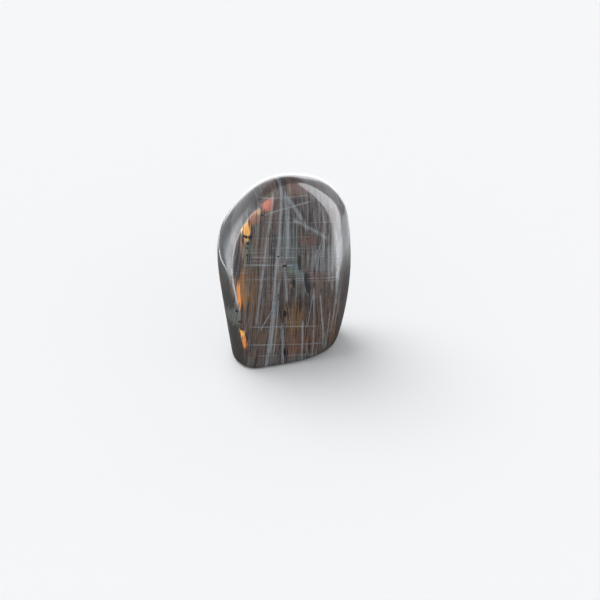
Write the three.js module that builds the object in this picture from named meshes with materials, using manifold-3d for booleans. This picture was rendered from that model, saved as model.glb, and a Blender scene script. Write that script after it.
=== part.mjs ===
// A polished freeform of labradorite: one natural stone, ground and polished all round, with a sawn foot.
// Millimetres, +Z up. The broad polished front looks towards -Y, and the origin is on the foot, under the
// middle of the stone's box.

import * as THREE from 'three';
import { mergeVertices } from 'three/addons/utils/BufferGeometryUtils.js';
import Module from 'manifold-3d';

// The heart is the point inside the stone that its ground faces are measured from.
// It is this high above the foot.
const HEART_HEIGHT = 48;

// Each ground face looks out at a turn (0 is the front, 90 is +X) and a tilt above the level, in degrees.
// Its reach is how far it lies from the heart. A face with a higher crisp meets its neighbours more sharply.
const GROUND_FACES = {
  front: { turn: 1, tilt: 7.5, reach: 14.4, crisp: 12.5 },
  leftSide: { turn: -94, tilt: -7, reach: 35.5, crisp: 14 },
  leftFrontEdge: { turn: -52, tilt: -2, reach: 33.2, crisp: 15.5 },
  rightSide: { turn: 78, tilt: -12, reach: 37.8, crisp: 17 },
  rightFrontEdge: { turn: 45, tilt: 4, reach: 27.1, crisp: 9.5 },
  rightFoot: { turn: 30, tilt: -35, reach: 44.9, crisp: 7.5 },
  back: { turn: 180, tilt: 6, reach: 15.8, crisp: 11 },
  backLeftEdge: { turn: -132, tilt: -7, reach: 30.7, crisp: 7 },
  backRightEdge: { turn: 133, tilt: 2, reach: 29, crisp: 7 },
  top: { turn: 0, tilt: 87, reach: 58.7, crisp: 8 },
  leftShoulder: { turn: -99, tilt: 38, reach: 42.3, crisp: 9.5 },
  rightShoulder: { turn: 92, tilt: 46, reach: 54.5, crisp: 10.5 },
  leftCrescent: { turn: -72, tilt: 16, reach: 37.8, crisp: 17 },
  leftBrow: { turn: -44, tilt: 43, reach: 42.5, crisp: 21 },
  brow: { turn: 2, tilt: 41, reach: 45.6, crisp: 11 },
  rightBrow: { turn: 49, tilt: 39, reach: 42.5, crisp: 13.5 },
  backBrow: { turn: 175, tilt: 45, reach: 42.4, crisp: 9 },
};

// The blank is a ball stretched to about the stone's own proportions, so that its facets come out even.
const BLANK_HALF_WIDTH = 36;
const BLANK_HALF_DEPTH = 22;
const BLANK_HALF_HEIGHT = 56;
const BLANK_DETAIL = 16;

// No skin is looked for further from the heart than this, and halving the search this often finds it
// to a hundred-thousandth of a millimetre.
const SEARCH_REACH = 150;
const SEARCH_HALVINGS = 24;

// The block that keeps what is above the saw cut is wider and taller than any blank.
const KEEP_BLOCK_SIDE = 400;

const POLISHED_GREY = new THREE.MeshStandardMaterial({ color: 0x4a4442, roughness: 0.12, metalness: 0 });

const heart = new THREE.Vector3(0, 0, HEART_HEIGHT);

// The ground faces, each with the direction that it looks out in.
const faces = Object.values(GROUND_FACES).map(({ turn, tilt, reach, crisp }) => {
  const turned = THREE.MathUtils.degToRad(turn);
  const tilted = THREE.MathUtils.degToRad(tilt);
  const level = Math.cos(tilted);
  const outward = new THREE.Vector3(Math.sin(turned) * level, -Math.cos(turned) * level, Math.sin(tilted));
  return { outward, reach, crisp };
});

// Adds up how far a point at this offset from the heart has pushed into each face.
// The sum is under 1 inside the stone and 1 on its skin.
function pressOnFaces(offset) {
  return faces.reduce((sum, { outward, reach, crisp }) => {
    const height = Math.max(0, offset.dot(outward));
    return sum + (height / reach) ** crisp;
  }, 0);
}

// Moves a point of the blank along its own ray from the heart until it meets the ground skin.
function grindToSkin(point) {
  const ray = point.clone().sub(heart).normalize();
  const offset = new THREE.Vector3();
  let inside = 0;
  let outside = SEARCH_REACH;
  for (let step = 0; step < SEARCH_HALVINGS; step += 1) {
    const middle = (inside + outside) / 2;
    offset.copy(ray).multiplyScalar(middle);
    if (pressOnFaces(offset) < 1) inside = middle;
    else outside = middle;
  }
  return point.copy(heart).addScaledVector(ray, inside);
}

// Merges a geometry's shared corners, leaving position as its only attribute.
function weld(geometry) {
  geometry.deleteAttribute('normal');
  geometry.deleteAttribute('uv');
  return mergeVertices(geometry);
}

function toSolid(wasm, geometry) {
  return new wasm.Manifold(new wasm.Mesh({
    numProp: 3,
    vertProperties: new Float32Array(geometry.attributes.position.array),
    triVerts: new Uint32Array(geometry.index.array),
  }));
}

function toGeometry(solid) {
  const mesh = solid.getMesh();
  const geometry = new THREE.BufferGeometry();
  geometry.setAttribute('position', new THREE.BufferAttribute(mesh.vertProperties, mesh.numProp));
  geometry.setIndex(new THREE.BufferAttribute(mesh.triVerts, 1));
  geometry.computeVertexNormals();
  return geometry;
}

// The stone as it is ground, before it is sawn level.
function groundStone() {
  const blank = weld(new THREE.IcosahedronGeometry(1, BLANK_DETAIL));
  blank.scale(BLANK_HALF_WIDTH, BLANK_HALF_DEPTH, BLANK_HALF_HEIGHT);
  blank.translate(heart.x, heart.y, heart.z);
  const corners = blank.attributes.position;
  const corner = new THREE.Vector3();
  for (let index = 0; index < corners.count; index += 1) {
    corner.fromBufferAttribute(corners, index);
    grindToSkin(corner);
    corners.setXYZ(index, corner.x, corner.y, corner.z);
  }
  return blank;
}

// Everything above the saw cut, which is level and at height 0.
function keepBlock() {
  const block = weld(new THREE.BoxGeometry(KEEP_BLOCK_SIDE, KEEP_BLOCK_SIDE, KEEP_BLOCK_SIDE));
  return block.translate(0, 0, KEEP_BLOCK_SIDE / 2);
}

// Stands the stone with the middle of its box over the origin.
function centreOverOrigin(geometry) {
  geometry.computeBoundingBox();
  const middle = geometry.boundingBox.getCenter(new THREE.Vector3());
  return geometry.translate(-middle.x, -middle.y, 0);
}

const wasm = await Module();
wasm.setup();

const sawn = toSolid(wasm, groundStone()).intersect(toSolid(wasm, keepBlock()));
const labradorite = new THREE.Mesh(centreOverOrigin(toGeometry(sawn)), POLISHED_GREY);
labradorite.name = 'labradorite';

const stone = new THREE.Group();
stone.add(labradorite);

export default stone;
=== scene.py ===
# A polished freeform of labradorite, standing on its sawn foot. The CAD gives the frame and the box.
# Lengths are in millimetres and are turned into Blender's metres where they are used.

import math

import bmesh
import bpy
import numpy as np
from mathutils import Matrix, Vector


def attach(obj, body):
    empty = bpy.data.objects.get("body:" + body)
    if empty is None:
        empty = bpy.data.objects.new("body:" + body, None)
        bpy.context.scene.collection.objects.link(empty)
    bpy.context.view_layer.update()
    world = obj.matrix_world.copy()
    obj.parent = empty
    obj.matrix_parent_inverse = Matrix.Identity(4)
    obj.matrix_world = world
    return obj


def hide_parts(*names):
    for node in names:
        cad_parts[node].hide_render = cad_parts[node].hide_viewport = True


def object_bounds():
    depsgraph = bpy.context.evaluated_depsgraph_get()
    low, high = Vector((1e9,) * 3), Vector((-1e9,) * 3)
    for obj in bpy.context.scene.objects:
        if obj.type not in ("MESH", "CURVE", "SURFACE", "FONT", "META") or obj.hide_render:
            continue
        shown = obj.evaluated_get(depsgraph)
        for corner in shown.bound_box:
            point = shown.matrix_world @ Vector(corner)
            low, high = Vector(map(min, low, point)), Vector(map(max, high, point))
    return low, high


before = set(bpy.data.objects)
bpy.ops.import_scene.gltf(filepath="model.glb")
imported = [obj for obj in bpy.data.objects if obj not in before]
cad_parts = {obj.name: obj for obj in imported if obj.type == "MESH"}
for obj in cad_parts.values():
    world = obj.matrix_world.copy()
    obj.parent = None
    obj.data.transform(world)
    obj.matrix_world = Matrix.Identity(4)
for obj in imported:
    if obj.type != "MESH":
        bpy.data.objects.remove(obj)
cad_low, cad_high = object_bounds()


# The stone: one natural piece, sawn to a block, ground on seventeen soft faces and polished all round.
# Its foot is sawn level and left matt, with the sharp rim rubbed down.

# One millimetre, in Blender's metres.
MM = 0.001

# The heart is the point inside the stone that its ground faces are measured from.
HEART = (-0.14, -0.035, 48.0)

# Each ground face: the turn it looks out at (0 is the front, 90 is +X), its tilt above the level, how far
# it lies from the heart, and how crisply it meets its neighbours. The foot's lies a hair under the saw
# cut, so that only its rubbed rim is left of it.
GROUND_FACES = {
    "front": (1, 7.5, 14.4, 12.5),
    "left side": (-94, -7, 35.5, 14),
    "left front edge": (-52, -2, 33.2, 15.5),
    "right side": (78, -12, 37.8, 17),
    "right front edge": (45, 4, 27.1, 9.5),
    "right foot": (30, -35, 44.9, 7.5),
    "back": (180, 6, 15.8, 11),
    "back left edge": (-132, -7, 30.7, 7),
    "back right edge": (133, 2, 29, 7),
    "top": (0, 87, 58.7, 8),
    "left shoulder": (-99, 38, 42.3, 9.5),
    "right shoulder": (92, 46, 54.5, 10.5),
    "left crescent": (-72, 16, 37.8, 17),
    "left brow": (-44, 43, 42.5, 21),
    "brow": (2, 41, 45.6, 11),
    "right brow": (49, 39, 42.5, 13.5),
    "back brow": (175, 45, 42.4, 9),
    "foot": (0, -90, 48.12, 70),
}

# The rough block has about the stone's own proportions, so that its squares come out even on the skin.
BLOCK_WIDTH, BLOCK_DEPTH, BLOCK_HEIGHT = 72, 46, 104
BLOCK_CUTS = 124

# No skin is looked for further from the heart than this. Each step of the search halves what is left.
SEARCH_REACH = 150
SEARCH_HALVINGS = 26

outward = []
for turn, tilt, _, _ in GROUND_FACES.values():
    turned, tilted = math.radians(turn), math.radians(tilt)
    level = math.cos(tilted)
    outward.append((math.sin(turned) * level, -math.cos(turned) * level, math.sin(tilted)))
outward = np.array(outward)
reaches = np.array([face[2] for face in GROUND_FACES.values()], float)
crisps = np.array([face[3] for face in GROUND_FACES.values()], float)

rough_block = bmesh.new()
bmesh.ops.create_cube(rough_block, size=1)
bmesh.ops.scale(rough_block, vec=(BLOCK_WIDTH, BLOCK_DEPTH, BLOCK_HEIGHT), verts=rough_block.verts)
bmesh.ops.subdivide_edges(rough_block, edges=rough_block.edges, cuts=BLOCK_CUTS, use_grid_fill=True)

rays = np.array([corner.co for corner in rough_block.verts])
rays /= np.linalg.norm(rays, axis=1, keepdims=True)


def press_on_faces(distances):
    """How far the point at each distance along its ray has pushed into each ground face."""
    return np.maximum(rays @ outward.T * distances[:, None] / reaches, 0)


# The sum of what presses on the faces is under 1 inside the stone and 1 on its skin.
inside = np.zeros(len(rays))
outside = np.full(len(rays), float(SEARCH_REACH))
for _ in range(SEARCH_HALVINGS):
    middle = (inside + outside) / 2
    within = (press_on_faces(middle) ** crisps).sum(axis=1) < 1
    inside = np.where(within, middle, inside)
    outside = np.where(within, outside, middle)
skin = np.array(HEART) + rays * inside[:, None]

# How squarely each point of the skin faces left or right, which the plates in the stone also do.
skin_normals = (press_on_faces(inside) ** (crisps - 1) * crisps / reaches) @ outward
side_on = np.abs(skin_normals[:, 0]) / np.linalg.norm(skin_normals, axis=1)

# No point is lower than the saw cut, so the foot is exactly level inside its rubbed rim.
below = skin[:, 2] < 0
skin[below] = np.array(HEART) + rays[below] * (-HEART[2] / rays[below, 2])[:, None]

# The polished skin is kept just inside the CAD box.
cad_half = np.array([(cad_high.x - cad_low.x) / 2, (cad_high.y - cad_low.y) / 2, cad_high.z]) / MM
own_middle = (skin.max(axis=0) + skin.min(axis=0)) / 2
skin[:, :2] -= own_middle[:2]
own_half = skin.max(axis=0)
skin *= min(1, (cad_half / own_half).min())

for corner, skin_point in zip(rough_block.verts, skin):
    corner.co = skin_point * MM
for face in rough_block.faces:
    face.smooth = True
bmesh.ops.recalc_face_normals(rough_block, faces=rough_block.faces)
stone_mesh = bpy.data.meshes.new("polished_stone")
rough_block.to_mesh(stone_mesh)
rough_block.free()
stone_mesh.attributes.new("side on", "FLOAT", "POINT").data.foreach_set("value", side_on)
stone = bpy.data.objects.new("polished_stone", stone_mesh)
bpy.context.scene.collection.objects.link(stone)

# Its material is solid: every colour is a place in the stone, so veins run through from one face to
# another.
finish = bpy.data.materials.new("polished labradorite")
finish.use_nodes = True
tree = finish.node_tree
polish = tree.nodes["Principled BSDF"]


def feed(socket, value):
    """Joins an output to a socket, or sets the socket to a value."""
    if isinstance(value, bpy.types.NodeSocket):
        tree.links.new(value, socket)
    else:
        socket.default_value = value


def maths(operation, *values):
    node = tree.nodes.new("ShaderNodeMath")
    node.operation = operation
    for socket, value in zip(node.inputs, values):
        feed(socket, value)
    return node.outputs[0]


def add(first, *others):
    for other in others:
        first = maths("ADD", first, other)
    return first


def times(first, *others):
    for other in others:
        first = maths("MULTIPLY", first, other)
    return first


def scaled(value, factor, shift=0.0):
    return maths("MULTIPLY_ADD", value, factor, shift)


def centred(value, swing):
    """Turns a value around a half into one around 0, with this swing in all."""
    return scaled(value, swing, -swing / 2)


def rest_of(share):
    """What a share leaves of 1."""
    return scaled(share, -1, 1)


def vector_maths(operation, *values):
    node = tree.nodes.new("ShaderNodeVectorMath")
    node.operation = operation
    for socket, value in zip(node.inputs, values):
        feed(socket, value)
    return node.outputs["Value" if operation in ("DOT_PRODUCT", "LENGTH") else "Vector"]


def ramp(value, start, end):
    """0 up to the start and 1 from the end on, with a soft change between."""
    node = tree.nodes.new("ShaderNodeMapRange")
    node.interpolation_type = "SMOOTHSTEP"
    feed(node.inputs["Value"], value)
    feed(node.inputs["From Min"], start)
    feed(node.inputs["From Max"], end)
    return node.outputs[0]


def place(x, y, z):
    node = tree.nodes.new("ShaderNodeCombineXYZ")
    for socket, value in zip(node.inputs, (x, y, z)):
        feed(socket, value)
    return node.outputs[0]


def noise(where, detail=2.0, roughness=0.5, colour=False):
    """Smooth noise with about one blotch per unit of the given place, mostly between 0.3 and 0.7."""
    node = tree.nodes.new("ShaderNodeTexNoise")
    node.inputs["Scale"].default_value = 1
    node.inputs["Detail"].default_value = detail
    node.inputs["Roughness"].default_value = roughness
    feed(node.inputs["Vector"], where)
    return node.outputs["Color" if colour else 0]


def over(share, under, colour):
    """Lays a colour over another by a share from 0 to 1."""
    node = tree.nodes.new("ShaderNodeMixRGB")
    feed(node.inputs["Fac"], share)
    feed(node.inputs["Color1"], under)
    feed(node.inputs["Color2"], colour)
    return node.outputs["Color"]


def rgb(red, green, blue):
    return (red, green, blue, 1)


def colour_parts(colour):
    node = tree.nodes.new("ShaderNodeSeparateXYZ")
    feed(node.inputs[0], colour)
    return node.outputs


own_place = tree.nodes.new("ShaderNodeTexCoord").outputs["Object"]
spot = vector_maths("MULTIPLY", own_place, (1 / MM, 1 / MM, 1 / MM))
x, y, z = colour_parts(spot)

# The front leans back. Its plane is this far before the origin at the foot and slopes by this much a
# millimetre of height, and the depth of a spot is how far behind that plane it is.
FRONT_AT_FOOT = 20.8
FRONT_SLOPE = 0.132
depth = add(y, scaled(z, -FRONT_SLOPE, FRONT_AT_FOOT))


def blotches(rates, detail, roughness=0.5, colour=False):
    """Noise with this many blotches a millimetre in x, y and z."""
    return noise(vector_maths("MULTIPLY", spot, rates), detail, roughness, colour)


# The stone was bent a little as it grew: a slow wave and a quick one shift its plates sideways and its
# splits up or down, by up to about a millimetre.
slow_x, _, slow_z = colour_parts(blotches((0.031, 0.031, 0.031), 1, colour=True))
quick_x, _, quick_z = colour_parts(blotches((0.16, 0.16, 0.08), 1, colour=True))
bend_x = add(centred(slow_x, 2.2), centred(quick_x, 0.4))
bend_z = add(centred(slow_z, 3.0), centred(quick_z, 0.8))

# Its plates stand upright. They lean over to the right at the top on the left of the stone, and less
# further right, turning about this height.
LEAN_LEFT, LEAN_RIGHT = -20.0, 12.0
LEAN_HEIGHT = 50
lean = scaled(maths("MAXIMUM", maths("MINIMUM", x, LEAN_RIGHT), LEAN_LEFT), -0.003, 0.06)
across = add(x, scaled(depth, 0.12), times(scaled(z, -1, LEAN_HEIGHT), lean), bend_x)


def plate_noise(rate_across, rate_through, rate_up, detail=1):
    """Noise drawn out along the plates, with this many blotches a millimetre in each direction."""
    where = place(scaled(across, rate_across), scaled(y, rate_through), scaled(z, rate_up))
    return noise(where, detail)


coarse = plate_noise(0.75, 0.06, 0.035)
fine = plate_noise(2.4, 0.1, 0.09)
hair = plate_noise(5.0, 0.3, 0.3)
broad = plate_noise(0.11, 0.05, 0.035, detail=2)
cloud = blotches((0.09, 0.09, 0.06), 3, 0.6)
speck = blotches((1.7, 1.7, 1.2), 1)

# The plates are dark where their streaks are weak, brown-grey where they are middling and pale where they
# are strong. The paler ones are fewer in the lower half of the stone.
DARK = rgb(0.016, 0.009, 0.011)
MID = rgb(0.091, 0.069, 0.062)
PALE = rgb(0.185, 0.178, 0.165)
streaks = add(scaled(coarse, 1.0), scaled(fine, 1.4), scaled(hair, 0.9), scaled(broad, 0.4))
streaks = add(streaks, scaled(cloud, 0.3), centred(speck, 0.5))
low_down = ramp(z, 62, 40)
body = over(ramp(streaks, 1.7, 2.25), DARK, MID)
body = over(times(ramp(streaks, 2.05, 2.5), scaled(low_down, -0.3, 0.6)), body, PALE)

# Most markings are placed on the front by x and height, and end where its sides start. The plates' edges
# show on the front and the back. At both sides the plates are seen face on.
front = ramp(depth, 13, 7)
away = rest_of(front)
face_spot = place(add(x, scaled(bend_x, 0.25), scaled(depth, 0.15)), 0.0, add(z, scaled(bend_z, 0.25)))
squareness = tree.nodes.new("ShaderNodeAttribute")
squareness.attribute_name = "side on"
face_on = ramp(squareness.outputs["Fac"], 0.5, 0.82)
edges_on = rest_of(face_on)

# These fray the edges of patches and of streaks along the plates.
erosion = add(centred(coarse, 1.0), centred(fine, 0.9), centred(cloud, 0.5))
feather = add(scaled(fine, 1.1, -0.5), centred(hair, 0.8))


def streak(start, end, half_width, bow=0.0):
    """A streak between two places (x and height), thin at both ends and bowed sideways in its middle."""
    run = Vector((end[0] - start[0], end[1] - start[1]))
    offset = vector_maths("SUBTRACT", face_spot, (start[0], 0, start[1]))
    along = vector_maths("DOT_PRODUCT", offset, (run.x / run.length**2, 0, run.y / run.length**2))
    aside = vector_maths("DOT_PRODUCT", offset, (-run.y / run.length, 0, run.x / run.length))
    swell = times(along, scaled(along, -4, 4))
    if bow:
        aside = add(aside, scaled(swell, -bow))
    taper = ramp(swell, 0.0, 0.35)
    return times(ramp(add(maths("ABSOLUTE", aside), feather), half_width, half_width * 0.3), taper)


def patch(middle, half_width, half_height, ragged=1.0, edge=0.4):
    """A soft patch at a place (x and height), with an edge frayed along the streaks."""
    offset = vector_maths("SUBTRACT", face_spot, (middle[0], 0, middle[1]))
    shape = vector_maths("MULTIPLY", offset, (1 / half_width, 0, 1 / half_height))
    inward = rest_of(vector_maths("LENGTH", shape))
    return ramp(add(inward, scaled(erosion, ragged)), 0.0, edge)


def hairlines(aside, along, spacing, half_width, length, coverage):
    """Thin lines side by side at uneven spacing, each broken into lengths of its own strength."""
    cells = tree.nodes.new("ShaderNodeTexVoronoi")
    cells.voronoi_dimensions = "1D"
    cells.inputs["Scale"].default_value = 1
    feed(cells.inputs["W"], scaled(aside, 1 / spacing))
    own_start, own_strength, _ = colour_parts(cells.outputs["Color"])
    broken = noise(place(scaled(own_start, 97), scaled(along, 1 / length), scaled(y, 0.03)), 1)
    line = ramp(cells.outputs["Distance"], half_width / spacing, half_width * 0.3 / spacing)
    kept = ramp(broken, 0.72 - 0.4 * coverage, 0.82 - 0.4 * coverage)
    return times(line, kept, scaled(own_strength, 0.8, 0.2))


# Brown and green-grey tinge the paler plates: brown most of all low on the front, and green-grey on the
# back.
BROWN = rgb(0.138, 0.075, 0.041)
GREEN_GREY = rgb(0.088, 0.098, 0.088)
brown_share = add(times(ramp(broad, 0.48, 0.62), 0.45), times(low_down, scaled(front, 0.33, 0.1)))
body = over(times(brown_share, ramp(streaks, 1.7, 2.3)), body, BROWN)
green_share = times(away, scaled(ramp(cloud, 0.42, 0.6), 0.55, 0.3))
body = over(times(green_share, ramp(streaks, 1.55, 2.2)), body, GREEN_GREY)

# Soft fields on the front, each with its middle, half width, half height, colour and strength. Most are
# other minerals; the brown one under the top, the gold-brown ones and the red-brown one by the foot are
# painted bronze sheen.
FRONT_FIELDS = {
    "green-grey behind the first flash": ((-16.3, 81.5), 2.6, 7, rgb(0.120, 0.130, 0.115), 0.7),
    "green-grey round the grains": ((-21.8, 69.5), 2.8, 8, rgb(0.120, 0.135, 0.090), 0.9),
    "grey in the middle": ((0.5, 68), 7.0, 13, rgb(0.092, 0.103, 0.096), 0.8),
    "grey along the foot": ((-4, 2), 27, 5.5, rgb(0.110, 0.112, 0.108), 0.5),
    "grey below the middle": ((5.0, 45), 4.5, 9, rgb(0.110, 0.120, 0.112), 0.65),
    "teal": ((1.6, 54.0), 4.2, 4.4, rgb(0.095, 0.145, 0.143), 0.9),
    "grey at the left of the foot": ((-25.5, 4.5), 6, 4.5, rgb(0.100, 0.105, 0.095), 0.6),
    "painted bronze sheen under the top": ((3.8, 96), 5.5, 4.5, rgb(0.150, 0.068, 0.042), 0.6),
    "painted gold-brown sheen at the left": ((-21.0, 46), 6.5, 14, rgb(0.165, 0.078, 0.022), 0.8),
    "gold strip on the right": ((6.8, 70), 1.6, 3.4, rgb(0.170, 0.085, 0.035), 0.8),
    "red-brown on the right": ((11.0, 68.5), 3.6, 3.0, rgb(0.120, 0.048, 0.036), 0.7),
    "red below it": ((12.0, 48.5), 2.0, 4.5, rgb(0.150, 0.055, 0.048), 0.7),
    "tan spot": ((-0.2, 45), 0.9, 1.8, rgb(0.260, 0.150, 0.090), 0.7),
    "pale lattice on the right": ((17.5, 57), 8.5, 9.0, rgb(0.170, 0.175, 0.180), 0.6),
    "yellow-green spot": ((0.0, 53), 0.9, 2.6, rgb(0.160, 0.180, 0.060), 0.8),
    "painted gold-brown sheen below the middle": ((0.8, 27), 5.5, 10, rgb(0.170, 0.090, 0.030), 0.7),
    "painted red-brown sheen by the foot": ((1.0, 12), 9, 8, rgb(0.140, 0.062, 0.035), 0.7),
}

# The back has its own, softer ones. The gold-brown one and the three shy flashes are painted sheen.
BACK_FIELDS = {
    "dark heart": ((7, 64), 10, 17, rgb(0.024, 0.023, 0.026), 0.8),
    "dark at the left of the back": ((20, 30), 8, 16, rgb(0.030, 0.028, 0.028), 0.7),
    "gold-brown": ((-13, 38), 7, 13, rgb(0.165, 0.082, 0.030), 0.75),
    "brown by the foot": ((4, 12), 11, 9, rgb(0.125, 0.060, 0.036), 0.65),
    "pale green-grey": ((-19, 68), 5, 12, rgb(0.165, 0.175, 0.150), 0.65),
    "blue-green flash": ((12, 46), 7, 16, rgb(0.030, 0.135, 0.155), 0.65),
    "steel-blue flash": ((-5, 80), 7, 12, rgb(0.060, 0.120, 0.200), 0.6),
    "gold flash": ((-17, 46), 3.4, 12, rgb(0.360, 0.180, 0.055), 0.7),
}


def lay_fields(under, fields, share_of_side, ragged, edge):
    """Lays soft fields over one side of the stone, on its paler plates."""
    for centre, half_width, half_height, colour, strength in fields.values():
        share = times(patch(centre, half_width, half_height, ragged, edge), share_of_side, strength)
        under = over(times(share, ramp(streaks, 1.5, 2.1)), under, colour)
    return under


body = lay_fields(body, FRONT_FIELDS, front, ragged=1.0, edge=0.4)
body = lay_fields(body, BACK_FIELDS, away, ragged=1.5, edge=0.9)

# The flashes are painted sheen: the salmon, gold and orange that plates just under the skin throw back are
# painted into the colour, the same from every side, and only where the front face starts to turn away to
# the left. Each has its middle, half width, half height, colour, how deep behind the front plane it still
# shows, and strength.
PAINTED_FLASHES = [
    ((-17.5, 84.4), 3.6, 5.6, rgb(0.36, 0.150, 0.080), 0.72, 0.8),
    ((-10.9, 91.4), 3.6, 5.0, rgb(0.62, 0.200, 0.130), 0.78, 0.9),
    ((-15.8, 87.4), 2.2, 2.6, rgb(0.62, 0.330, 0.170), 0.60, 0.95),
    ((-22.4, 77.8), 2.9, 6.8, rgb(1.00, 0.480, 0.120), 0.45, 1.0),
    ((-24.6, 68.5), 1.2, 8.0, rgb(0.42, 0.220, 0.110), 0.20, 0.8),
    ((-25.4, 47), 2.6, 13.0, rgb(0.34, 0.150, 0.045), 0.45, 0.8),
    ((-27.3, 44.5), 1.3, 11.0, rgb(0.95, 0.330, 0.070), 0.50, 0.9),
    ((-26.6, 20.6), 1.9, 3.6, rgb(1.00, 0.480, 0.090), 1.50, 1.0),
    ((-25.6, 16.2), 2.2, 4.8, rgb(0.90, 0.300, 0.060), 1.50, 0.95),
]
glow = 0.0
for centre, half_width, half_height, colour, turn_away, strength in PAINTED_FLASHES:
    near_rim = ramp(depth, turn_away, turn_away - 0.2)
    share = times(patch(centre, half_width, half_height, ragged=1.1, edge=0.5), near_rim)
    glow = maths("MAXIMUM", glow, share)
    body = over(times(share, ramp(add(fine, scaled(hair, 0.7)), 0.45, 0.95), strength), body, colour)

# Upright pale veins, each a bundle of hair-fine strands from one place to another (x and height), with
# its half width and its bow.
VEIN = rgb(0.330, 0.375, 0.395)
VEINS = [
    ((-2.6, 106), (-7.8, 50), 1.3, 0.5),
    ((-7.2, 62), (-16.3, -8), 1.2, 0.8),
    ((-2.9, 104), (-7.2, 56), 0.4, 0.2),
    ((-6.6, 70), (-16.8, -6), 0.4, 1.0),
    ((-6.0, 50), (-12.6, 6), 1.0, -0.4),
    ((-6.6, 99), (-20.0, 22), 1.0, -0.3),
    ((-1.6, 97), (-2.2, 58), 1.8, 1.0),
    ((-7.0, 39), (-11.8, 1), 0.6, 0.3),
    ((-3.1, 60), (-2.7, 36), 1.0, 0.0),
    ((-5.5, 26), (-6.1, -6), 1.2, 0.0),
    ((5.3, 26), (4.8, -4), 0.8, 0.0),
    ((11.9, 44), (10.5, -4), 0.7, 0.0),
    ((15.0, 40), (16.9, 4), 0.6, 0.0),
    ((26.4, 48), (20.4, 14), 0.7, 0.0),
    ((29.3, 48), (23.0, 18), 0.6, 0.0),
    ((24.4, 50), (24.6, 30), 0.6, 0.0),
    ((20.4, 28), (17.6, 4), 0.6, 0.0),
    ((15.4, 26), (18.8, 5), 0.5, 0.0),
    ((20.4, 72), (20.0, 43), 0.6, 0.0),
    ((16.2, 65.5), (12.0, 53), 0.6, -0.9),
]
veins = times(add(*[streak(*vein) for vein in VEINS]), edges_on)

# Thin level and slanting lines, where the plates split, given in the same way.
SPLITS = [
    ((-16, 93.2), (11, 92.6), 0.4, 0.0),
    ((-14, 81.4), (29, 76), 0.35, 0.0),
    ((-10, 67), (6, 65), 0.35, 0.0),
    ((-21, 63.4), (5, 60), 0.35, 0.0),
    ((-24, 59.6), (2, 56.2), 0.6, 0.0),
    ((-24, 52), (1, 48.4), 0.3, 0.0),
    ((-6, 49.6), (30, 45.6), 0.45, 0.0),
    ((-5, 48.6), (31, 43.6), 0.35, 0.0),
    ((-23, 25.0), (15, 20.4), 0.45, 0.0),
    ((-25, 15.0), (18, 9.6), 0.45, 0.0),
    ((-20, 8.0), (14, 3.6), 0.35, 0.0),
    ((-20, 73.4), (12, 70.6), 0.3, 0.0),
    ((-13.5, 84.6), (12.5, 89.4), 0.7, 0.5),
    ((-1.6, 94.2), (9.6, 73.5), 1.4, 0.9),
    ((1.5, 81.2), (20.8, 67.2), 1.3, 0.6),
    ((-17.5, 22), (-10.5, 33.4), 0.6, 0.0),
]
splits = times(add(*[streak(*split) for split in SPLITS]), edges_on)

# Finer lines everywhere: along the plates, crossing them at a small angle, and level. Those that are
# banded lie close together across the middle of the stone.
BAND_HEIGHT = 58
wide_lines = hairlines(across, z, 2.3, 0.34, 26, 0.55)
thin_lines = hairlines(across, z, 0.95, 0.17, 15, 0.6)
crossing = hairlines(add(across, scaled(z, 0.17)), z, 3.8, 0.3, 12, 0.5)
counter = hairlines(add(across, scaled(z, -0.16)), z, 4.6, 0.3, 12, 0.45)
level_side = add(z, scaled(x, 0.09), scaled(bend_z, 0.5))
level = hairlines(level_side, x, 2.6, 0.16, 16, 0.4)
in_band = ramp(maths("ABSOLUTE", scaled(z, 1, -BAND_HEIGHT)), 12, 7)
banded = times(hairlines(level_side, x, 0.9, 0.16, 14, 0.6), in_band)

# The pale lines are laid on in two coats: upright and crossing ones, then the splits, which come and go.
strands = add(scaled(wide_lines, 0.7), scaled(thin_lines, 0.5), scaled(fine, 1.8, -0.45))
bundled = maths("MINIMUM", strands, 1.0)
loose = times(add(scaled(wide_lines, 0.4), scaled(thin_lines, 0.3)), scaled(low_down, -0.35, 1.0), edges_on)
mottled = scaled(ramp(speck, 0.3, 0.6), 0.45, 0.55)
vein_share = maths("MAXIMUM", times(veins, scaled(bundled, 0.8, 0.12), mottled), loose)
crossed = times(add(crossing, counter), scaled(ramp(x, -2, 12), 0.4, 0.28), scaled(face_on, -0.7, 1))
vein_share = maths("MAXIMUM", vein_share, crossed)
body = over(maths("MINIMUM", vein_share, 0.68), body, VEIN)
uneven = ramp(add(fine, cloud, scaled(coarse, 0.5)), 0.85, 1.5)
split_lines = add(scaled(splits, 0.6), scaled(level, 0.42), scaled(banded, 0.7))
split_share = times(split_lines, uneven, ramp(speck, 0.1, 0.5))
body = over(maths("MINIMUM", split_share, 0.6), body, VEIN)

# Where the plates are seen face on, at both sides, the stone is plain and dark, with clouds of grey,
# patches of painted bronze sheen, broken plates and thin cracks along two directions.
PLAIN_DARK = rgb(0.026, 0.024, 0.024)
PLAIN_GREY = rgb(0.110, 0.112, 0.104)
BRONZE_SHEEN = rgb(0.130, 0.075, 0.040)
flakes = tree.nodes.new("ShaderNodeTexVoronoi")
flakes.inputs["Scale"].default_value = 1
feed(flakes.inputs["Vector"], vector_maths("MULTIPLY", spot, (0.12, 0.5, 0.2)))
flake_tone = colour_parts(flakes.outputs["Color"])[0]
tone = add(cloud, scaled(fine, 0.25), scaled(flake_tone, 0.12), scaled(speck, 0.12))
plain = over(ramp(tone, 0.62, 0.98), PLAIN_DARK, PLAIN_GREY)
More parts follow.
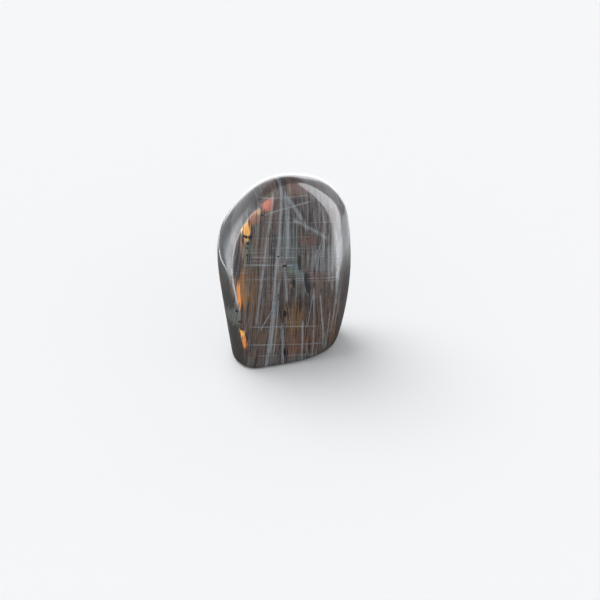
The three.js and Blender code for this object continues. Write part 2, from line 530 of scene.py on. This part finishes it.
# Painted bronze sheen, in patches over the plain stone.
bronze_sheen_share = times(ramp(blotches((0.06, 0.09, 0.05), 2), 0.52, 0.64), ramp(tone, 0.6, 0.9), 0.6)
plain = over(bronze_sheen_share, plain, BRONZE_SHEEN)
level_cracks = hairlines(add(z, scaled(y, 0.2)), y, 4.5, 0.2, 14, 0.45)
upright_cracks = hairlines(add(y, scaled(z, 0.13)), z, 3.6, 0.2, 20, 0.5)
plain = over(scaled(add(level_cracks, upright_cracks), 0.35), plain, VEIN)

# The rolled rim over the top of the front is a dark brown, and the sides take their plain stone.
RIM_BROWN = rgb(0.045, 0.036, 0.036)
rim = times(ramp(depth, 1.1, 2.2), ramp(z, 84, 92))
body = over(scaled(rim, 0.45), body, RIM_BROWN)
body = over(scaled(face_on, 0.88), body, plain)

# The flank left of the front is plainer still and darkened as painted shade, warm low down and cool higher
# up, with one grey-green patch.
WARM_FLANK_SHADE = rgb(0.038, 0.034, 0.031)
COOL_FLANK_SHADE = rgb(0.036, 0.040, 0.043)
PATCH_GREY = rgb(0.135, 0.150, 0.130)
flank_shade = times(ramp(depth, 1.0, 4.0), ramp(x, -14, -22), front)
body = over(scaled(flank_shade, 0.75), body, over(ramp(z, 30, 60), WARM_FLANK_SHADE, COOL_FLANK_SHADE))
edge_patch = times(patch((-29.4, 30.5), 3.4, 7.0), front)
body = over(times(edge_patch, ramp(streaks, 1.3, 2.0), 0.75), body, PATCH_GREY)

# Black grains, each with its middle, half width and half height. They are only near the front's surface.
GRAIN_BLACK = rgb(0.003, 0.003, 0.004)
GRAINS = [
    ((-23.3, 75.0), 0.8, 0.8),
    ((-22.2, 74.4), 0.9, 1.0),
    ((-20.2, 74.1), 1.3, 1.3),
    ((-21.4, 71.0), 1.0, 0.9),
    ((-22, 68.5), 0.6, 0.6),
    ((-22, 64.6), 0.8, 0.7),
    ((-13.5, 85), 0.6, 0.6),
    ((-28.4, 34), 0.9, 0.9),
    ((-30.6, 27), 0.8, 0.8),
    ((-27.2, 28), 1.0, 0.7),
    ((-26.5, 23.6), 0.7, 0.7),
    ((-3.2, 56.6), 1.5, 0.8),
    ((4.6, 57.2), 0.9, 5.0),
    ((7.7, 47), 1.1, 5.4),
    ((8.7, 42.6), 1.6, 3.2),
    ((1.1, 46.5), 1.0, 3.0),
    ((-3.9, 30), 0.9, 2.0),
    ((-4.7, 8), 0.8, 2.6),
    ((-6.2, 62), 0.6, 0.6),
]
grains = add(*[patch(*grain, ragged=0.25, edge=0.3) for grain in GRAINS])
grain_share = times(maths("MINIMUM", scaled(grains, 1.5), 0.97), ramp(depth, 4.5, 3.0))
body = over(grain_share, body, GRAIN_BLACK)

# The sawn foot is paler and matt.
SAWN_GREY = rgb(0.23, 0.21, 0.195)
foot = ramp(z, 0.3, 0.02)
body = over(scaled(foot, 0.6), body, SAWN_GREY)

# The polish is a clear coat, which the foot lacks. The flashes throw back light a little as a metal does.
feed(polish.inputs["Base Color"], body)
feed(polish.inputs["Roughness"], scaled(foot, 0.2, 0.4))
feed(polish.inputs["Metallic"], times(glow, 0.35))
feed(polish.inputs["Coat Weight"], rest_of(foot))
polish.inputs["IOR"].default_value = 1.35
polish.inputs["Coat IOR"].default_value = 1.56
polish.inputs["Coat Roughness"].default_value = 0.05

stone_mesh.materials.append(finish)
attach(stone, "root")
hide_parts("labradorite")


# The floor: a wide matt white sheet, so that the stone stands on something and has its shadow. The polish
# mirrors other sheets in its place: a grey table, a round dull mat, and a round white mat that peeks out
# at its left.

WIDE_RADIUS = 3000
MAT_RADIUS = 143
SHEET_SIDES = 128


def lay_round_sheet(name, middle, radius):
    """Lays a round sheet and gives it back with its matt finish."""
    disc = bmesh.new()
    bmesh.ops.create_circle(disc, cap_ends=True, segments=SHEET_SIDES, radius=radius * MM)
    bmesh.ops.translate(disc, vec=Vector(middle) * MM, verts=disc.verts)
    sheet_mesh = bpy.data.meshes.new(name)
    disc.to_mesh(sheet_mesh)
    disc.free()
    paper = bpy.data.materials.new(name)
    paper.use_nodes = True
    sheet_mesh.materials.append(paper)
    sheet = bpy.data.objects.new(name, sheet_mesh)
    bpy.context.scene.collection.objects.link(sheet)
    matt = paper.node_tree.nodes["Principled BSDF"]
    matt.inputs["Roughness"].default_value = 1
    matt.inputs["Specular IOR Level"].default_value = 0
    return sheet, matt


floor, floor_paper = lay_round_sheet("white floor", (0, 0, 0), WIDE_RADIUS)
floor_paper.inputs["Base Color"].default_value = rgb(0.86, 0.86, 0.855)
floor.visible_glossy = False

table, table_paper = lay_round_sheet("grey table", (0, 0, 0), WIDE_RADIUS)
table_paper.inputs["Base Color"].default_value = rgb(0.42, 0.42, 0.425)

dull_mat, dull_paper = lay_round_sheet("dull mat", (-4, 16, 0.04), MAT_RADIUS)
dull_paper.inputs["Base Color"].default_value = rgb(0.12, 0.115, 0.11)

# The white mat glows: it is a lamp, seen only in the polish.
white_mat, white_paper = lay_round_sheet("white mat", (-13, 20, 0.02), MAT_RADIUS)
white_paper.inputs["Emission Color"].default_value = rgb(1, 1, 1)
white_paper.inputs["Emission Strength"].default_value = 4

for mirrored in (table, dull_mat, white_mat):
    mirrored.visible_camera = False
    mirrored.visible_diffuse = False
    mirrored.visible_shadow = False


# The light: a pale room up to a dark ceiling, one soft lamp for the shadow, and white panels that only
# show as highlights in the polish.

ROOM_WHITE = rgb(0.95, 0.97, 1.0)
CEILING_GREY = rgb(0.16, 0.165, 0.18)
WALLS_END = math.radians(36)
CEILING_STARTS = math.radians(49)

world = bpy.data.worlds.new("room")
bpy.context.scene.world = world
world.use_nodes = True
sky = world.node_tree
direction = sky.nodes.new("ShaderNodeSeparateXYZ")
sky.links.new(sky.nodes.new("ShaderNodeTexCoord").outputs["Generated"], direction.inputs[0])
height = sky.nodes.new("ShaderNodeMapRange")
height.interpolation_type = "SMOOTHSTEP"
height.inputs["From Min"].default_value = math.sin(WALLS_END)
height.inputs["From Max"].default_value = math.sin(CEILING_STARTS)
sky.links.new(direction.outputs[2], height.inputs["Value"])
room = sky.nodes.new("ShaderNodeMixRGB")
room.inputs["Color1"].default_value = ROOM_WHITE
room.inputs["Color2"].default_value = CEILING_GREY
sky.links.new(height.outputs[0], room.inputs["Fac"])
sky.links.new(room.outputs["Color"], sky.nodes["Background"].inputs["Color"])

LAMP_SHINES = Vector((0.35, -0.45, -1.0))
lamp_light = bpy.data.lights.new("soft lamp", "SUN")
lamp_light.energy = 2.0
lamp_light.angle = math.radians(50)
lamp = bpy.data.objects.new("soft lamp", lamp_light)
lamp.rotation_euler = LAMP_SHINES.to_track_quat("-Z", "Y").to_euler()
lamp.visible_glossy = False
bpy.context.scene.collection.objects.link(lamp)

# Each panel reaches from one point to another round the stone, each a turn, a distance and a height, and
# faces the stone. The sheets and the lying strip are flat, just over the table. Then come its width,
# radiance, tint, how far its soft edge reaches in, and whether it is round.
PANELS = {
    "right panel": ((69, 111, -1), (60, 219, 331), 200, 4.8, (0.95, 0.99, 1.03), 0.2, True),
    "low right panel": ((74, 125, 0), (74, 130, 28), 100, 2.6, (0.95, 0.99, 1.03), 0.45, False),
    "right sheet": ((40, 112, 0.5), (36, 280, 0.5), 190, 1.5, (0.97, 0.99, 1.02), 0.5, False),
    "back panel": ((168, 206, -11), (168, 274, 311), 410, 2.3, (0.98, 0.99, 1.03), 0.3, False),
    "left panel": ((-94, 150, -130), (-50, 200, 260), 520, 4.2, (0.93, 1.0, 1.06), 0.9, False),
    "left sheet": ((-66, 100, 0.5), (-66, 330, 0.5), 200, 0.9, (0.95, 1.0, 1.04), 0.4, False),
    "leaning strip": ((-43, 200, -5), (-19, 190, 165), 40, 4.0, (1.0, 1.0, 1.0), 0.4, False),
    "far right sheet": ((112, 100, 0.5), (112, 330, 0.5), 200, 1.0, (0.93, 1.0, 1.06), 0.5, False),
    "thin strip": ((22, 190, 0), (31, 190, 85), 9, 2.2, (1.0, 0.97, 0.93), 0.5, False),
    "lying strip": ((-42, 95, 0.5), (-42, 225, 0.5), 40, 5.0, (1.0, 1.0, 1.0), 0.4, False),
}


def round_the_stone(turn, distance, height):
    turned = math.radians(turn)
    return Vector((math.sin(turned) * distance, -math.cos(turned) * distance, height))


def soften(light, soft, is_round):
    """Fades a panel's light towards its edge. Parametric runs from 0 to 1 over its width and its height."""
    light.use_nodes = True
    nodes, links = light.node_tree.nodes, light.node_tree.links
    # From -1 to 1, with 0 in the panel's middle.
    spread = nodes.new("ShaderNodeVectorMath")
    spread.operation = "MULTIPLY_ADD"
    links.new(nodes.new("ShaderNodeNewGeometry").outputs["Parametric"], spread.inputs[0])
    spread.inputs[1].default_value = (2, 2, 0)
    spread.inputs[2].default_value = (-1, -1, 0)
    if is_round:
        outness = nodes.new("ShaderNodeVectorMath")
        outness.operation = "LENGTH"
        links.new(spread.outputs["Vector"], outness.inputs[0])
        edges = [outness.outputs["Value"]]
    else:
        sides = nodes.new("ShaderNodeSeparateXYZ")
        links.new(spread.outputs["Vector"], sides.inputs[0])
        edges = []
        for side in sides.outputs[:2]:
            outness = nodes.new("ShaderNodeMath")
            outness.operation = "ABSOLUTE"
            links.new(side, outness.inputs[0])
            edges.append(outness.outputs[0])
    strength = None
    for edge in edges:
        fade = nodes.new("ShaderNodeMapRange")
        fade.interpolation_type = "SMOOTHSTEP"
        links.new(edge, fade.inputs["Value"])
        fade.inputs["From Min"].default_value = 1
        fade.inputs["From Max"].default_value = 1 - soft
        if strength is None:
            strength = fade.outputs[0]
        else:
            both = nodes.new("ShaderNodeMath")
            both.operation = "MULTIPLY"
            links.new(strength, both.inputs[0])
            links.new(fade.outputs[0], both.inputs[1])
            strength = both.outputs[0]
    links.new(strength, nodes["Emission"].inputs["Strength"])


for name, (bottom, top, width, radiance, tint, soft, is_round) in PANELS.items():
    low_end, high_end = round_the_stone(*bottom), round_the_stone(*top)
    middle = (low_end + high_end) / 2
    up = (high_end - low_end).normalized()
    facing = Vector(HEART) - middle
    facing = (facing - up * facing.dot(up)).normalized()
    panel_light = bpy.data.lights.new(name, "AREA")
    panel_light.shape = "RECTANGLE"
    panel_light.size = width * MM
    panel_light.size_y = (high_end - low_end).length * MM
    panel_light.energy = radiance * math.pi * panel_light.size * panel_light.size_y
    panel_light.color = tint
    soften(panel_light, soft, is_round)
    panel = bpy.data.objects.new(name, panel_light)
    axes = Matrix((up.cross(-facing), up, -facing)).transposed().to_4x4()
    panel.matrix_world = Matrix.Translation(middle * MM) @ axes
    panel.visible_camera = False
    panel.visible_diffuse = False
    bpy.context.scene.collection.objects.link(panel)


# The camera looks down at the stone's front from a little to the left, as in the photograph.

CAMERA_PLACE = Vector((-139.0, -651.8, 447.4))
CAMERA_LOOKS = Vector((0.186, 0.8253, -0.5332))

camera_lens = bpy.data.cameras.new("camera")
camera_lens.lens = 90
camera_lens.sensor_width = 36
camera_lens.clip_end = 20
camera = bpy.data.objects.new("camera", camera_lens)
camera.location = CAMERA_PLACE * MM
camera.rotation_euler = CAMERA_LOOKS.to_track_quat("-Z", "Y").to_euler()
bpy.context.scene.collection.objects.link(camera)
bpy.context.scene.camera = camera
bpy.context.scene.view_settings.view_transform = "Standard"
